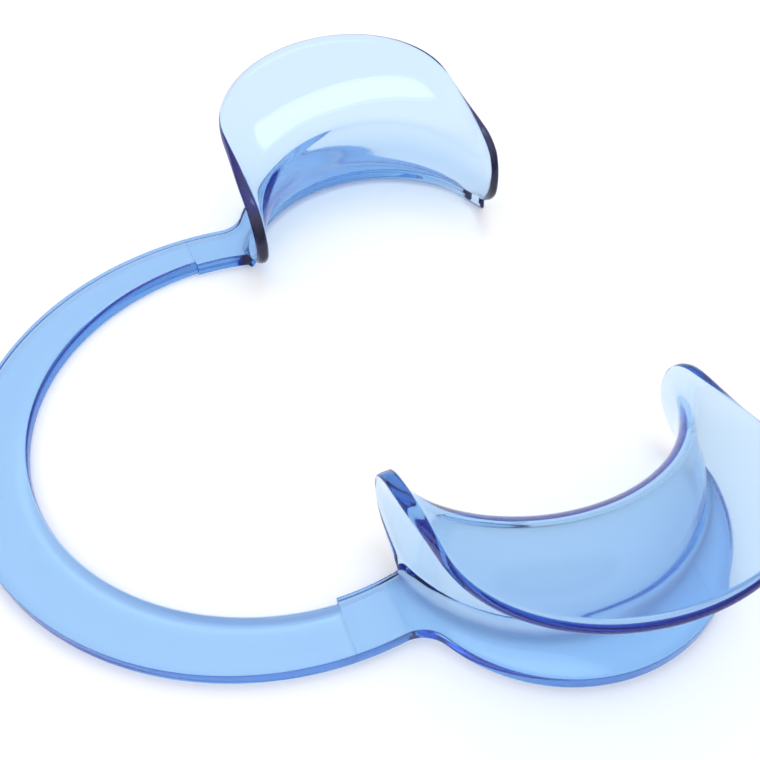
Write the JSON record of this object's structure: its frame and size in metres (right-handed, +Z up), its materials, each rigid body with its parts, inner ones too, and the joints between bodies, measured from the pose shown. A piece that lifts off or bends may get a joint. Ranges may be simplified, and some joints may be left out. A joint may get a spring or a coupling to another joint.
{
  "type": "cheek retractor",
  "caption": "C-shaped dental cheek retractor: flat springy bow with a saddle-shaped, double-flanged cup at each end, moulded in clear blue plastic.",
  "frame": {"origin": "middle of the whole part's footprint, on the flat underside it rests on", "axes": "+X from the crown of the bow towards its opening, +Y towards the left cup, +Z up from the flat underside to the wings"},
  "size_m": [0.0888, 0.117, 0.0224],
  "materials": {
    "clear_blue": "transparent blue polycarbonate, polished"
  },
  "bodies": {
    "right_half": {"right_bow_arm": "clear_blue", "right_neck": "clear_blue", "right_outer_flange": "clear_blue", "right_lip_channel": "clear_blue", "right_cheek_wing": "clear_blue"},
    "left_half": {"left_bow_arm": "clear_blue", "left_neck": "clear_blue", "left_outer_flange": "clear_blue", "left_lip_channel": "clear_blue", "left_cheek_wing": "clear_blue"}
  },
  "joints": [
    {"name": "bow_flex", "type": "hinge", "parent": "right_half", "child": "left_half", "pos_m": [-0.0403, 0, 0.0011], "axis": [0, 0, -1], "range_deg": [0, 22], "stiffness_Nm_per_rad": 0.5}
  ]
}
